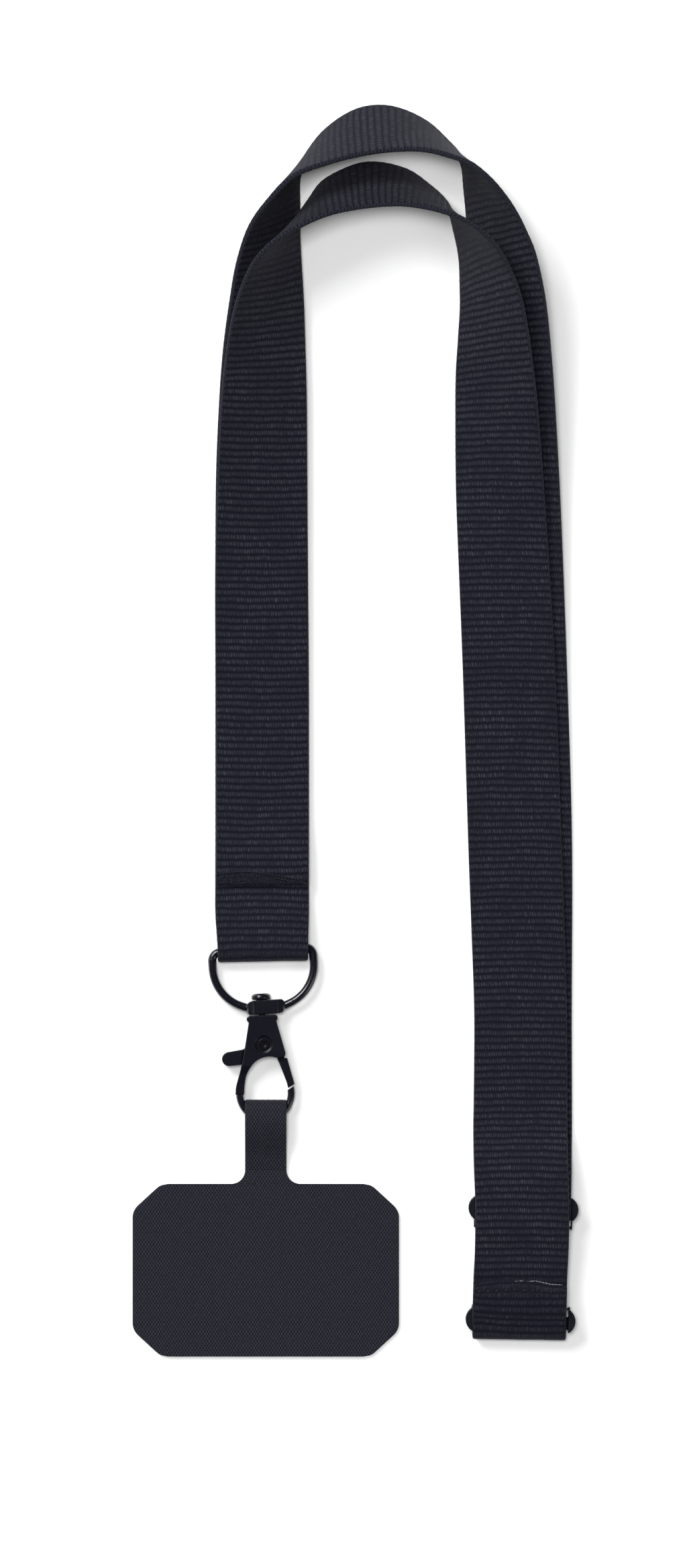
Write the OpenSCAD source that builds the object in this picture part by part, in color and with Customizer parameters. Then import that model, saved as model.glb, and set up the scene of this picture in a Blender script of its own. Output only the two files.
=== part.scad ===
// Phone lanyard laid flat: two webbing straps in a loop, a breakaway buckle, a D-ring,
// a swivel lobster clasp and a cloth phone patch. Millimetres, +Y towards the neck end,
// +Z up from the table, origin at the middle of the outline on the table.

/* [Webbing] */
// Width of the neck straps
strap_w = 19.8; // [19.2:0.1:19.9]
// Thickness of the neck straps
strap_t = 1.2; // [0.9:0.05:1.25]
// Sewing thread diameter
thread_d = 0.4; // [0.3:0.05:0.5]

/* [Swivel clasp] */
// Height of the middle plane of the ring and clasp above the table
mid_z = 2.45; // [2.4:0.01:2.5]
// D-ring wire diameter
ring_wire = 1.74; // [1.5:0.02:1.8]
// Half width of the D-ring, to the middle of the wire
ring_r = 10.78; // [10.75:0.01:10.9]
// Turn of the D-ring in its strap loop
ring_turn = 3.5; // [0:0.5:4]
// Radius of the swivel post's shank
post_r = 1.1; // [1.0:0.05:1.2]
// Lean of the clasp from the Y axis
clasp_lean = 3; // [0:0.5:3]
// Thickness of the clasp body
clasp_t = 4.6; // [4.4:0.1:4.8]
// Thickness of the hook's round wire
hook_wire = 1.6; // [1.3:0.1:1.6]
// Thickness of the gate between the clasp's cheeks
gate_t = 1.9; // [1.8:0.1:2.0]
// Radius of the gate's rivet
pin_r = 1.0; // [0.8:0.05:1.0]

/* [Phone patch] */
// Width of the pad
pad_w = 56.7; // [54:0.1:58]
// Length of the pad
pad_h = 36.7; // [34:0.1:37]
// Corner cut of the pad, across
chamfer_x = 6.1; // [5:0.1:7]
// Corner cut of the pad, along
chamfer_y = 5.6; // [5:0.1:7]
// Width of the tab that loops through the hook
tab_w = 8.8; // [8:0.1:8.8]
// Thickness of the cloth
cloth_t = 0.4; // [0.35:0.05:0.45]
// Thickness of the stiffener between the cloths
core_t = 0.2; // [0.15:0.05:0.25]

/* [Breakaway buckle] */
// Radius of the four rounded ears
ear_r = 2.9; // [2.8:0.05:2.95]
// Width across the ears
buckle_w = 23.4; // [23.2:0.1:23.6]
// Height of the buckle halves
buckle_t = 4.4; // [4.2:0.1:4.6]
// Radius of the strap bars
bar_r = 1.3; // [1.2:0.05:1.35]
// Turn of the buckle from the Y axis
buckle_turn = -1.5; // [-2:0.5:0]

/* [Hidden] */
$fn = 48;

// Running clearance of the post and the rivet
run = 0.05;

// Places of the local frames
ring_at = [-19.76, -48.0, mid_z];
clasp_at = [-19.9, -60.4, mid_z];
buckle_at = [35.4, -113.45, 0];
tab_x = -19.12;
pad_top = -96.4;
tab_fold_y = -78.4;

// Clasp sizes
hook_centre = [-0.13, -16.7];
hook_r = 5.48;
pivot = [0, -6.2];
slot_t = gate_t + 0.2;
hub_r = 2.3;
// Wells around the rivet's ends, and the rivet's rolled rims
well_r = 1.75;
rim_r = 1.2;
recess_r = 1.95;

// Buckle sizes
bar_y = 12.3;
ear_y = 11.85;
ear_x = buckle_w / 2 - ear_r;
slot_half_w = 10.15;
buckle_z = 0.3;
bar_z = 2.8;
// Walls that the straps pass behind, near edge and far edge from the buckle's middle
socket_wall = [7.8, 9.35];
plug_wall = [6.6, 8.2];
// Half widths of a wall at its far edge and at its near one, the cheeks outside the slot,
// and how far a wall's corners are cut back
wall_half = [10.45, 9.4];
cheek_lap = 0.6;

// Routes of the straps: each row is a point on the outer edge and the point across from it
// on the inner edge, at mid thickness. The rows start at the D-ring end, climb the left leg,
// roll over the neck arch on edge, come down the right leg and end past the buckle bar.
front_route = [
  [-29.7, -32.6, 3.15, -10.0, -32.6, 3.15],
  [-29.65, -26, 3.15, -10.0, -26, 3.15],
  [-29.65, -17, 2.0, -10.0, -17, 2.0],
  [-29.65, -3, 2.0, -10.05, -3, 1.95],
  [-29.75, 10, 2.3, -10.1, 10, 1.95],
  [-29.8, 35, 4.45, -10.25, 35, 2.05],
  [-29.25, 55, 7.1, -10.35, 55, 2.15],
  [-28.5, 70, 9.7, -10.5, 70.3, 2.2],
  [-27.4, 80, 12.2, -10.85, 81.5, 2.2],
  [-26.2, 87, 14.4, -11.15, 89.2, 2.4],
  [-24.5, 93, 16.5, -11.55, 96, 2.6],
  [-21.7, 99, 18.6, -12.0, 102.8, 2.8],
  [-17.2, 103.6, 20.4, -11.9, 108.6, 2.6],
  [-11.8, 106.8, 20.8, -9.6, 113.1, 2.0],
  [-5.0, 109.55, 19.8, -6.0, 117.5, 1.3],
  [2.5, 111.0, 18.2, 2.0, 120.75, 0.8],
  [9.0, 111.45, 18.9, 10.0, 119.55, 0.8],
  [14.5, 110.9, 19.8, 15.6, 115.9, 0.9],
  [20.0, 109.45, 20.8, 19.5, 111.8, 1.2],
  [25.2, 107, 20.6, 21.2, 106.3, 1.6],
  [29.2, 103.6, 19.6, 22.2, 100.8, 1.8],
  [32.2, 99, 18.2, 22.4, 95.2, 1.9],
  [34.8, 92.6, 16.4, 22.4, 89.8, 1.9],
  [36.4, 85.5, 14.6, 22.0, 83.5, 1.9],
  [37.5, 78, 12.6, 21.5, 76.5, 1.9],
  [38.6, 69, 10.4, 21.35, 68.5, 1.9],
  [40.0, 52, 6.8, 21.4, 52, 1.9],
  [41.2, 35, 4.4, 22.0, 35, 1.9],
  [42.5, 12, 2.6, 22.9, 12, 1.9],
  [43.8, -23, 1.9, 24.0, -23, 1.9],
  [44.4, -42, 1.9, 24.7, -42, 1.9],
  [44.9, -60, 1.9, 25.3, -60, 1.9],
  [45.0, -78, 1.9, 25.2, -78, 1.9],
  [45.0, -84, 2.7, 25.1, -84, 2.7],
  [45.1, -90, 5.2, 25.15, -90, 5.2],
  [45.2, -95, 6.4, 25.3, -95, 6.4],
  [45.3, -100, 6.6, 25.5, -100, 6.6],
  [45.35, -105.5, 6.6, 25.5, -105.5, 6.6],
  [45.2, -111, 5.7, 25.4, -111, 5.7],
  [44.95, -116, 5.42, 25.15, -116, 5.42],
  [44.75, -121.5, 5.42, 25.0, -120.8, 5.42],
  [44.7, -123.2, 5.4, 24.95, -122.5, 5.4],
  [44.7, -123.85, 4.9, 24.95, -123.15, 4.9],
  [44.7, -124.0, 4.0, 24.95, -123.3, 4.0],
  [44.7, -124.05, 2.8, 24.95, -123.35, 2.8],
  [44.7, -124.25, 1.6, 24.95, -123.55, 1.6],
  [44.7, -124.85, 0.95, 24.95, -124.15, 0.95],
  [44.7, -126.15, 0.75, 24.9, -125.6, 0.75],
  [44.7, -127.55, 0.9, 24.9, -127.1, 0.9],
  [44.7, -128.6, 1.7, 24.9, -128.2, 1.7],
  [44.7, -129.0, 2.9, 24.9, -128.7, 2.9],
  [44.7, -128.6, 4.1, 24.9, -128.2, 4.1],
  [44.7, -127.45, 4.95, 24.9, -126.95, 4.95],
  [44.7, -126.15, 5.3, 24.9, -125.6, 5.3],
  [44.7, -124.95, 5.75, 24.9, -124.35, 5.75],
  [44.75, -123.65, 6.5, 24.95, -123.15, 6.5],
  [44.8, -122, 6.75, 25.0, -121.8, 6.75],
  [44.85, -120, 6.75, 25.05, -120, 6.75],
  [44.95, -117.1, 6.75, 25.15, -117.1, 6.75]];

rear_route = [
  [-29.8, -27.5, 1.9, -10.0, -27.5, 1.9],
  [-29.8, -33, 1.9, -10.0, -33, 1.9],
  [-29.8, -38, 2.7, -10.0, -38, 2.7],
  [-29.5, -43, 3.85, -10.1, -43, 3.85],
  [-29.3, -46, 4.1, -10.15, -46, 4.1],
  [-29.25, -48.05, 3.72, -10.17, -47.7, 3.72],
  [-29.25, -48.75, 2.45, -10.17, -48.35, 2.45],
  [-29.25, -48.05, 1.18, -10.17, -47.7, 1.18],
  [-29.3, -46, 0.8, -10.15, -46, 0.8],
  [-29.5, -43, 0.72, -10.1, -43, 0.72],
  [-29.8, -38, 0.65, -10.0, -38, 0.65],
  [-29.8, -20, 0.65, -10.0, -20, 0.65],
  [-29.8, 10, 0.8, -10.0, 10, 0.65],
  [-29.8, 35, 2.8, -10.2, 35, 0.65],
  [-29.6, 55, 5.2, -10.4, 55, 0.65],
  [-28.9, 70, 7.8, -10.6, 70, 0.65],
  [-28.0, 81, 10.2, -11.2, 82.3, 0.65],
  [-26.6, 91, 12.7, -11.6, 93.2, 0.65],
  [-25.0, 99.5, 15.0, -12.0, 103, 0.65],
  [-22.4, 106.8, 17.2, -12.1, 111.5, 0.65],
  [-18.4, 112.3, 18.9, -12.1, 117.9, 0.65],
  [-13.1, 117.4, 19.6, -10.2, 122.7, 0.65],
  [-6.5, 120.0, 18.9, -6.2, 127.9, 0.65],
  [1.0, 121.95, 17.8, 0.4, 132.15, 0.65],
  [8.0, 122.95, 17.9, 7.4, 132.7, 0.65],
  [14.3, 123.0, 18.6, 14.3, 129.9, 0.65],
  [19.8, 121.8, 19.5, 19.3, 125.5, 0.65],
  [24.8, 119.8, 20.1, 22.5, 121.2, 0.65],
  [29.5, 115.9, 19.6, 23.3, 115.6, 0.65],
  [33.6, 110.6, 18.0, 23.8, 108.5, 0.65],
  [36.4, 105.2, 16.0, 24.1, 102.2, 0.65],
  [38.3, 100.3, 14.4, 24.2, 97.5, 0.65],
  [40.2, 91.5, 12.2, 24.2, 89.5, 0.65],
  [41.5, 80, 9.8, 24.1, 79, 0.65],
  [42.5, 67, 7.2, 24.0, 66.5, 0.65],
  [43.6, 47, 4.0, 24.2, 47, 0.65],
  [44.9, 14, 1.6, 25.2, 14, 0.65],
  [46.0, -23, 0.65, 26.2, -23, 0.65],
  [45.95, -60, 0.65, 26.15, -60, 0.65],
  [46.0, -84, 0.65, 26.2, -84, 0.65],
  [45.85, -95, 0.7, 26.05, -95, 0.7],
  [45.75, -101.2, 0.72, 26.0, -100.6, 0.72],
  [45.75, -103.05, 0.95, 26.0, -102.35, 0.95],
  [45.75, -103.65, 1.7, 26.0, -102.95, 1.7],
  [45.75, -103.7, 2.8, 26.0, -103.0, 2.8],
  [45.75, -103.5, 4.1, 26.0, -102.8, 4.1],
  [45.75, -102.8, 4.9, 26.0, -102.1, 4.9],
  [45.75, -101.4, 5.1, 26.0, -100.7, 5.1],
  [45.85, -96, 4.95, 26.05, -96, 4.95],
  [45.9, -93.2, 4.5, 26.1, -93.2, 4.5],
  [45.9, -90.6, 2.7, 26.1, -90.6, 2.7],
  [45.9, -88.6, 2.0, 26.1, -88.6, 2.0],
  [45.9, -86.5, 1.95, 26.1, -86.5, 1.95]];

// Curves
function mix(a, b, t) = a + (b - a) * t;
function catmull(p0, p1, p2, p3, t) =
  0.5 * (2 * p1 + (p2 - p0) * t + (2 * p0 - 5 * p1 + 4 * p2 - p3) * t * t
         + (3 * p1 - p0 - 3 * p2 + p3) * t * t * t);
function row_at(rows, i) = rows[max(0, min(len(rows) - 1, i))];
function smooth_rows(rows, steps) = [
  for (i = [0 : len(rows) - 2], k = [0 : steps - 1])
    catmull(row_at(rows, i - 1), rows[i], rows[i + 1], row_at(rows, i + 2), k / steps),
  rows[len(rows) - 1]];
function outer_point(row) = [row[0], row[1], row[2]];
function inner_point(row) = [row[3], row[4], row[5]];
function middle(row) = (outer_point(row) + inner_point(row)) / 2;
function unit(v) = v / norm(v);
// Width of a row, held to the webbing's width where the edges roll
function row_w(row) = min(strap_w, norm(outer_point(row) - inner_point(row)));

// The four corners of the webbing's section at row i
function section(rows, i) =
  let (row = rows[i],
       along = unit(middle(row_at(rows, i + 1)) - middle(row_at(rows, i - 1))),
       across = unit(outer_point(row) - inner_point(row)),
       up = unit(cross(across, along)),
       half = across * row_w(row) / 2,
       lift = up * strap_t / 2,
       c = middle(row))
  [c + half + lift, c - half + lift, c - half - lift, c + half - lift];

module webbing(route, steps) {
  rows = smooth_rows(route, steps);
  n = len(rows);
  points = [for (i = [0 : n - 1]) each section(rows, i)];
  sides = [for (i = [0 : n - 2], k = [0 : 3])
    let (a = 4 * i + k, b = 4 * i + (k + 1) % 4) each [[a, b, b + 4], [a, b + 4, a + 4]]];
  polyhedron(points, concat([[3, 2, 1, 0]], sides,
             [[4 * n - 4, 4 * n - 3, 4 * n - 2, 4 * n - 1]]), convexity = 10);
}

module front_strap() color("#25242c") webbing(front_route, 3);
module rear_strap() color("#1f1e26") webbing(rear_route, 3);

// One row of short stitches along X, centred at c
module stitch_row(c, count, pitch, length) {
  for (i = [0 : count - 1])
    translate(c + [(i - (count - 1) / 2) * pitch - length / 2, 0, 0])
      rotate([0, 90, 0]) cylinder(d = thread_d, h = length, $fn = 16);
}

module ring_seam_stitching()
  color("#15151a") for (y = [-30.2, -31.8]) stitch_row([-19.9, y, 3.8], 8, 2.3, 1.7);

module front_seam_stitching()
  color("#15151a") stitch_row([35.0, -118.9, 7.35], 8, 2.3, 1.7);

module rear_seam_stitching()
  color("#15151a") stitch_row([36.0, -87.8, 2.6], 8, 2.3, 1.7);

// Buckle

module in_buckle() translate(buckle_at) rotate([0, 0, buckle_turn]) children();

// One end of the buckle: the strap bar, its two ears and the wall the strap passes behind
module bar_end(wall) {
  translate([-slot_half_w - 0.5, bar_y, bar_z]) rotate([0, 90, 0])
    cylinder(r = bar_r, h = 2 * slot_half_w + 1);
  intersection() {
    for (side = [-1, 1]) translate([side * ear_x, ear_y, buckle_z])
      cylinder(r = ear_r, h = buckle_t + 0.6);
    for (side = [-1, 1]) translate([side * (slot_half_w + 5) - 5, 0, 0]) cube([10, 20, 10]);
  }
  // Cheeks that join the ears to the wall
  for (side = [0, 1]) mirror([side, 0, 0])
    translate([slot_half_w, wall[1] - cheek_lap, buckle_z])
      cube([wall_half[0] - slot_half_w, ear_y - wall[1], buckle_t]);
  translate([0, 0, buckle_z]) linear_extrude(buckle_t) polygon([
    [-wall_half[0], wall[1]], [-wall_half[1], wall[1] - cheek_lap], [-wall_half[1], wall[0]],
    [wall_half[1], wall[0]], [wall_half[1], wall[1] - cheek_lap], [wall_half[0], wall[1]]]);
}

// Cavity of the socket and tongue of the plug, as width, length and height
cavity = [10.6, 10.6, 2.4];
tongue = [9.4, 11.9, 1.8];
socket_half_w = 8.4;
socket_top = 6.3;
tongue_low = -4.2;
tongue_z = bar_z - 0.3;
// Snap ribs on the tongue, and the notches that they rest in
rib_r = 0.9;
rib_y = -0.8;
notch_deep = 0.7;
notch_y = [-2.2, 1.5];

module buckle_socket() color("#17171b") in_buckle() {
  mirror([0, 1, 0]) bar_end(socket_wall);
  difference() {
    translate([-socket_half_w, -socket_wall[0], buckle_z])
      cube([2 * socket_half_w, socket_wall[0] + socket_top, buckle_t]);
    translate([-cavity[0] / 2, socket_top - cavity[1], tongue_z - cavity[2] / 2])
      cube([cavity[0], cavity[1] + 1, cavity[2]]);
    translate([-cavity[0] / 2 - notch_deep, notch_y[0], tongue_z - cavity[2] / 2])
      cube([cavity[0] + 2 * notch_deep, notch_y[1] - notch_y[0], cavity[2]]);
  }
}

module buckle_plug() color("#17171b") in_buckle() {
  bar_end(plug_wall);
  translate([-tongue[0] / 2, tongue_low, tongue_z - tongue[2] / 2]) cube(tongue);
  for (side = [-1, 1]) translate([side * tongue[0] / 2, rib_y, tongue_z - tongue[2] / 2])
    cylinder(r = rib_r, h = tongue[2]);
}

// D-ring and swivel

module in_ring() translate(ring_at) rotate([0, 0, ring_turn]) children();
module in_clasp() translate(clasp_at) rotate([0, 0, clasp_lean]) children();

// Corner under the bar, and the arcs of the bow: a flat one below and a tight one each side
ring_shoulder = 1.8;
ring_bar_y = 1.5;
bow_flat_r = 13.37;
bow_side_r = 8.93;
bow_side_x = ring_r - bow_side_r;
bow_flat_y = sqrt(pow(bow_flat_r - bow_side_r, 2) - pow(bow_side_x, 2));
bow_side_turn = atan2(bow_flat_y, bow_side_x);
// Widest line of the bow
bow_side_y = -1.94;
// The straight sides and the flat arc are a hair thicker and lap their neighbours (mm, degrees)
side_lap = 0.3;
flat_lap = 1.3;
side_swell = 0.05;

// Boss at the foot of the bow
boss_at = [-0.04, -10.74, 0];
boss_x = 2.6;
boss_r = 1.6;
boss_half_y = 1.5;
boss_half_z = 1.9;
boss_plan = [[-4.2, -0.9], [-3.5, -1.5], [2.9, -1.5], [3.5, -1.35], [4.2, -0.7], [4.2, 0.8],
             [3.6, 1.5], [-2.9, 1.5], [-3.6, 1.1], [-4.2, 0.4]];

module wire_arc(r, from, turn, wire = ring_wire) rotate([0, 0, from])
  rotate_extrude(angle = turn) translate([r, 0]) circle(d = wire, $fn = 32);

module d_ring() color("#1b1b20") difference() {
  in_ring() {
    translate([0, bow_side_y + bow_flat_y, 0])
      wire_arc(bow_flat_r, bow_side_turn - 180 - flat_lap, 180 - 2 * bow_side_turn + 2 * flat_lap,
               ring_wire + side_swell);
    for (side = [0, 1]) mirror([side, 0, 0]) {
      translate([bow_side_x, bow_side_y, 0]) wire_arc(bow_side_r, -bow_side_turn, bow_side_turn);
      translate([ring_r, bow_side_y - side_lap, 0]) rotate([-90, 0, 0])
        cylinder(d = ring_wire + side_swell, $fn = 32,
                 h = ring_bar_y - ring_shoulder - bow_side_y + 2 * side_lap);
      translate([ring_r - ring_shoulder, ring_bar_y - ring_shoulder, 0])
        wire_arc(ring_shoulder, 0, 90);
    }
    translate([-ring_r + ring_shoulder, ring_bar_y, 0]) rotate([0, 90, 0])
      cylinder(d = ring_wire, h = 2 * (ring_r - ring_shoulder), $fn = 32);
    // Boss that the post turns in: a barrel with its ends drawn in
    translate(boss_at) intersection() {
      union() {
        for (side = [-1, 1]) translate([side * boss_x, -boss_half_y, 0]) rotate([-90, 0, 0])
          cylinder(r = boss_r, h = 2 * boss_half_y);
        translate([-boss_x, -boss_half_y, -boss_half_z])
          cube([2 * boss_x, 2 * boss_half_y, 2 * boss_half_z]);
      }
      translate([0, 0, -boss_half_z]) linear_extrude(2 * boss_half_z)
        offset(r = 0.5) offset(r = -0.5) polygon(boss_plan);
    }
  }
  in_clasp() rotate([-90, 0, 0]) translate([0, 0, -3]) cylinder(r = post_r + run, h = 9);
}

// Post with its mushroom head above the boss and its shank in the clasp's neck
post_foot = 3.2;
post_profile = [[0, -4.6], [1.5, -4.55], [2.0, -4.2], [2.1, -3.7], [1.9, -3.25], [post_r, -3.25],
                [post_r, post_foot], [0, post_foot]];

module swivel_post() color("#1b1b20") in_clasp() rotate([90, 0, 0]) rotate_extrude()
  polygon(post_profile);

// Clasp body in plan: neck and cheeks, then the left arm down to the hook's start
arm_inner = [[2.6, -9.25], [1.7, -8.98], [0.9, -8.92], [0, -9.0], [-0.75, -9.22], [-1.55, -9.6],
             [-2.4, -10.3], [-3.25, -11.35], [-3.85, -12.4], [-4.2, -13.5], [-4.42, -14.6],
             [-4.56, -15.6], [-4.68, -16.7]];
arm_outer = [[-6.53, -16.7], [-6.44, -15.6], [-6.2, -14.5], [-5.84, -13.4], [-5.47, -12.3],
             [-5.1, -11.1], [-4.6, -9.3], [-4.1, -7.2]];
body_plan = concat([[-2.9, -1.4], [3.0, -1.5], [4.6, -8.3], [4.45, -9.0]],
                   smooth_rows(arm_inner, 4), smooth_rows(arm_outer, 4));
// Clasp body seen from the side: the cheeks' full thickness, drawn in along the arm to the hook
arm_half_t = 0.85;
body_side = [[0, clasp_t / 2], [-10.7, clasp_t / 2], [-12.4, 1.25], [-14.4, 0.95],
             [-16.75, arm_half_t], [-16.75, -arm_half_t], [-14.4, -0.95], [-12.4, -1.25],
             [-10.7, -clasp_t / 2], [0, -clasp_t / 2]];
// Longer than anything the cutting shapes have to pass through
big = 10;
// Collar under the D-ring's boss: a bar with rounded ends
collar_x = 2.6;
collar_y = -0.78;
collar_r = 0.72;

// Hook from the left arm round to its tip, which is cut on a slant to meet the gate
tip_cut = [5.45, -15.75];
tip_slant = 28;
slot_low = -10.7;
slot_high = -3.6;

module hook_bend() difference() {
  translate([hook_centre[0], hook_centre[1], 0]) rotate([0, 0, 180])
    rotate_extrude(angle = 200) translate([hook_r, 0]) circle(d = hook_wire, $fn = 32);
  translate([tip_cut[0], tip_cut[1], -5]) rotate([0, 0, tip_slant]) translate([-3, 0, 0])
    cube([6, 5, 10]);
}

module clasp_body() color("#1b1b20") in_clasp() difference() {
  union() {
    intersection() {
      translate([0, 0, -clasp_t / 2]) linear_extrude(clasp_t) polygon(body_plan);
      translate([-big, 0, 0]) rotate([90, 0, 90]) linear_extrude(2 * big) polygon(body_side);
    }
    hull() for (side = [-1, 1]) translate([side * collar_x, collar_y, -clasp_t / 2])
      cylinder(r = collar_r, h = clasp_t);
    hook_bend();
  }
  // Slot for the gate and its lever
  translate([-big, slot_low, -slot_t / 2]) cube([2 * big, slot_high - slot_low, slot_t]);
  // Bores of the post and the rivet
  rotate([90, 0, 0]) translate([0, 0, -1]) cylinder(r = post_r, h = 1 + post_foot);
  translate([pivot[0], pivot[1], -big]) cylinder(r = pin_r, h = 2 * big);
  for (side = [0, 1]) mirror([0, 0, side]) translate([pivot[0], pivot[1], clasp_t / 2 - 0.5])
    cylinder(r = well_r, h = 1);
}

// Rounded thumb pad at the lever's end
thumb_x = 7.5;
thumb_y = -9.0;
thumb_r = 1.5;
thumb_half_z = 1.35;

// Gate: hub on the rivet, thumb lever to the left, closing arm down to the hook's tip
// Gate lever in plan: the pad's arm, the gate's root, the pad's inner end and the gate's bar
lever_plan = [[-0.6, -4.6], [-4.6, -7.2], [-7.7, -7.5], [-7.7, -10.5], [-4.4, -10.3],
              [-1.5, -8.2]];
root_plan = [[1.5, -5.2], [3.9, -8.0], [4.5, -9.9], [3.2, -9.9], [2.6, -9.1], [0.5, -8.6]];
pad_plan = [[-thumb_x, thumb_y - thumb_r], [-5.1, -10.35], [-4.3, -7.1],
            [-thumb_x, thumb_y + thumb_r]];
gate_plan = [[2.75, -9.5], [4.85, -9.4], [6.15, -15.03], [4.72, -15.82], [4.5, -14.6],
             [3.2, -10.6]];
gate_bar_t = 2.2;
recess_floor = 0.05;

module gate_lever() color("#1b1b20") in_clasp() difference() {
  union() {
    translate([0, 0, -gate_t / 2]) linear_extrude(gate_t) {
      translate(pivot) circle(r = hub_r);
      polygon(lever_plan);
      polygon(root_plan);
    }
    // Thumb pad
    translate([-thumb_x, thumb_y, -thumb_half_z]) cylinder(r = thumb_r, h = 2 * thumb_half_z);
    translate([0, 0, -thumb_half_z]) linear_extrude(2 * thumb_half_z) polygon(pad_plan);
    // Bar of the gate, outside the cheeks
    translate([0, 0, -gate_bar_t / 2]) linear_extrude(gate_bar_t) polygon(gate_plan);
  }
  translate([pivot[0], pivot[1], -big]) cylinder(r = pin_r + run, h = 2 * big);
  // Recess of the spring
  translate([pivot[0], pivot[1], recess_floor]) cylinder(r = recess_r, h = gate_t);
}

// Hollow-ended rivet
module gate_rivet() color("#2b2b31") in_clasp() translate([pivot[0], pivot[1], 0])
  difference() {
    union() {
      translate([0, 0, -2.2]) cylinder(r = pin_r, h = 4.4);
      for (side = [0, 1]) mirror([0, 0, side]) translate([0, 0, clasp_t / 2 - 0.5])
        cylinder(r = rim_r, h = 0.45);
    }
    for (side = [0, 1]) mirror([0, 0, side]) translate([0, 0, clasp_t / 2 - 0.3])
      cylinder(r1 = 0.5, r2 = 0.75, h = 0.4);
  }

// Torsion spring around the rivet: two turns in the hub's recess and a leg against its wall
spring_r = 1.5;
spring_wire = 0.34;
module gate_spring() color("#9a9aa0") in_clasp() translate([pivot[0], pivot[1], 0.3]) {
  for (k = [0, 1]) translate([0, 0, 0.38 * k])
    rotate_extrude() translate([spring_r, 0]) circle(d = spring_wire, $fn = 16);
  translate([-spring_r, 0, 0]) cylinder(d = spring_wire, h = 0.38, $fn = 16);
}

// Phone patch

pad_bottom = pad_top - pad_h;
corner_r = 3.5;
fillet_r = 3;

// Pad outline with cut, rounded corners, drawn in by inset
module pad_plan(inset) offset(r = corner_r) offset(r = -corner_r - inset)
  translate([tab_x, pad_bottom]) polygon([
    [-pad_w / 2, chamfer_y], [-pad_w / 2, pad_h - chamfer_y],
    [-pad_w / 2 + chamfer_x, pad_h], [pad_w / 2 - chamfer_x, pad_h],
    [pad_w / 2, pad_h - chamfer_y], [pad_w / 2, chamfer_y],
    [pad_w / 2 - chamfer_x, 0], [-pad_w / 2 + chamfer_x, 0]]);

// Root of the tab with its two fillets
module tab_root() difference() {
  translate([tab_x - tab_w / 2 - fillet_r, pad_top - 1])
    square([tab_w + 2 * fillet_r, fillet_r + 1]);
  for (side = [-1, 1])
    translate([tab_x + side * (tab_w / 2 + fillet_r), pad_top + fillet_r]) circle(r = fillet_r);
}

// The tab in Y and Z: up from the pad, round the hook's wire, and back down behind
loop_r = 2.1;
face_z = cloth_t + core_t + cloth_t / 2;
fold_y = tab_fold_y - loop_r - cloth_t / 2;
rise = [[pad_top + 0.5, face_z], [-93, face_z + 0.1], [-89.5, 1.9], [-86, 3.9],
        [-84, mid_z + loop_r], [fold_y, mid_z + loop_r]];
fall = [[fold_y, mid_z - loop_r], [-84, mid_z - loop_r], [-88, cloth_t / 2 + 0.05],
        [pad_top + 0.6, cloth_t / 2]];

function path_normal(path, i) =
  let (d = path[min(len(path) - 1, i + 1)] - path[max(0, i - 1)]) [-d[1], d[0]] / norm(d);
function offset_path(path, by) = [for (i = [0 : len(path) - 1]) path[i] + path_normal(path, i) * by];
function reversed(v) = [for (i = [len(v) - 1 : -1 : 0]) v[i]];

module cloth_run(path) translate([tab_x - tab_w / 2, 0, 0]) rotate([90, 0, 90])
  linear_extrude(tab_w)
    polygon(concat(offset_path(path, cloth_t / 2), reversed(offset_path(path, -cloth_t / 2))));

module tab_strip() {
  cloth_run(rise);
  cloth_run(fall);
  translate([tab_x - tab_w / 2, fold_y, mid_z]) rotate([0, 90, 0]) rotate_extrude(angle = 180)
    translate([loop_r - cloth_t / 2, 0]) square([cloth_t, tab_w]);
}

module patch_face() color("#2c2c36") {
  translate([0, 0, cloth_t + core_t]) linear_extrude(cloth_t) {
    pad_plan(0);
    tab_root();
  }
  tab_strip();
}

module patch_back() color("#26262e") linear_extrude(cloth_t) pad_plan(0);

module patch_stiffener() color("#55555c")
  translate([0, 0, cloth_t]) linear_extrude(core_t) pad_plan(1.2);

front_strap();
rear_strap();
ring_seam_stitching();
front_seam_stitching();
rear_seam_stitching();
buckle_socket();
buckle_plug();
d_ring();
swivel_post();
clasp_body();
gate_lever();
gate_rivet();
gate_spring();
patch_face();
patch_back();
patch_stiffener();
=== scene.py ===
import math

import bpy
import numpy as np
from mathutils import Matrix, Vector


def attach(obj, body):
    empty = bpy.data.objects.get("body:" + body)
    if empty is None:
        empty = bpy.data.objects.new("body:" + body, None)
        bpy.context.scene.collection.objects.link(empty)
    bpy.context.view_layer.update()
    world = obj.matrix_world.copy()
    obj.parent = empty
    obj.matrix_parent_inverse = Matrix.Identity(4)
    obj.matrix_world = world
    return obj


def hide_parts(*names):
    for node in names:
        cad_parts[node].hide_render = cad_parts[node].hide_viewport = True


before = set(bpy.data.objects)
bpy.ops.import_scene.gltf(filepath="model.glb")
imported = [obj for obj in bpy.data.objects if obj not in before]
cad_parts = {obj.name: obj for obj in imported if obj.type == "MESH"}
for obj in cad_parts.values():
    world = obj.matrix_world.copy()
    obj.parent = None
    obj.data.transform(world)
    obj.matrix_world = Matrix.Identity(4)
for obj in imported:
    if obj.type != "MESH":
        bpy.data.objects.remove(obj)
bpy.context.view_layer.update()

MM = 0.001
rng = np.random.default_rng(7)

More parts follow.
